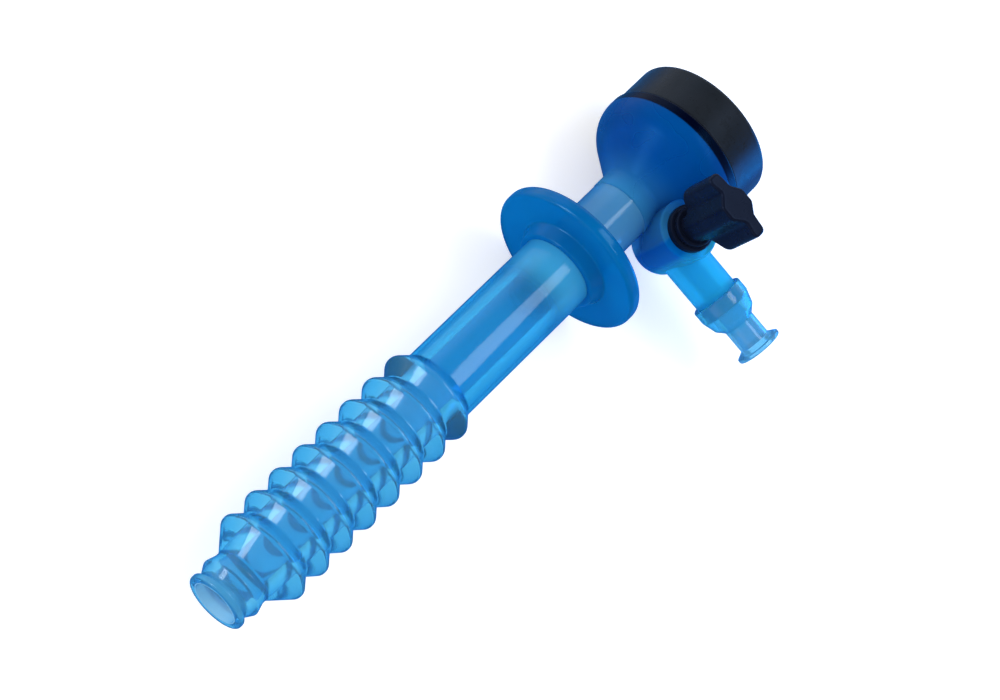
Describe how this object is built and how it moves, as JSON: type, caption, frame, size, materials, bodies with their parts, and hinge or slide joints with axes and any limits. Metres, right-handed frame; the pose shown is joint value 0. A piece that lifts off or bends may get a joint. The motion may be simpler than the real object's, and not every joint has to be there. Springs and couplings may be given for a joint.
{
  "type": "arthroscopy cannula",
  "caption": "Ribbed translucent cannula with a depth flange, a funnel hub, a stopcock side port with a Luer end and a sealed cap.",
  "frame": {"origin": "centre of the distal mouth, on the shaft axis", "axes": "+X along the shaft axis towards the cap, -Y along the inflow port, +Z along the stopcock key towards its handle"},
  "size_m": [0.1068, 0.042, 0.0332],
  "materials": {
    "tube_blue": "gloss",
    "flange_blue": "gloss",
    "hub_blue": "gloss",
    "port_blue": "gloss",
    "black_plastic": "satin",
    "white_plastic": "matte",
    "seal_rubber": "matte"
  },
  "bodies": {
    "cannula": {"cannula_tube": "tube_blue", "depth_flange": "flange_blue", "hub_housing": "hub_blue", "luer_connector": "port_blue", "key_collar": "black_plastic", "duckbill_valve": "seal_rubber", "valve_spacer": "black_plastic", "septum_seal": "seal_rubber", "seal_retainer": "black_plastic", "cap_gasket": "seal_rubber", "seal_cap": "black_plastic"},
    "stopcock": {"stopcock_key": "white_plastic", "key_seal": "seal_rubber", "stopcock_handle": "black_plastic"}
  },
  "joints": [
    {"name": "stopcock_turn", "type": "hinge", "parent": "cannula", "child": "stopcock", "pos_m": [0.0901, -0.00835, 0], "axis": [0, 0, 1], "range_deg": [0, 90]}
  ]
}
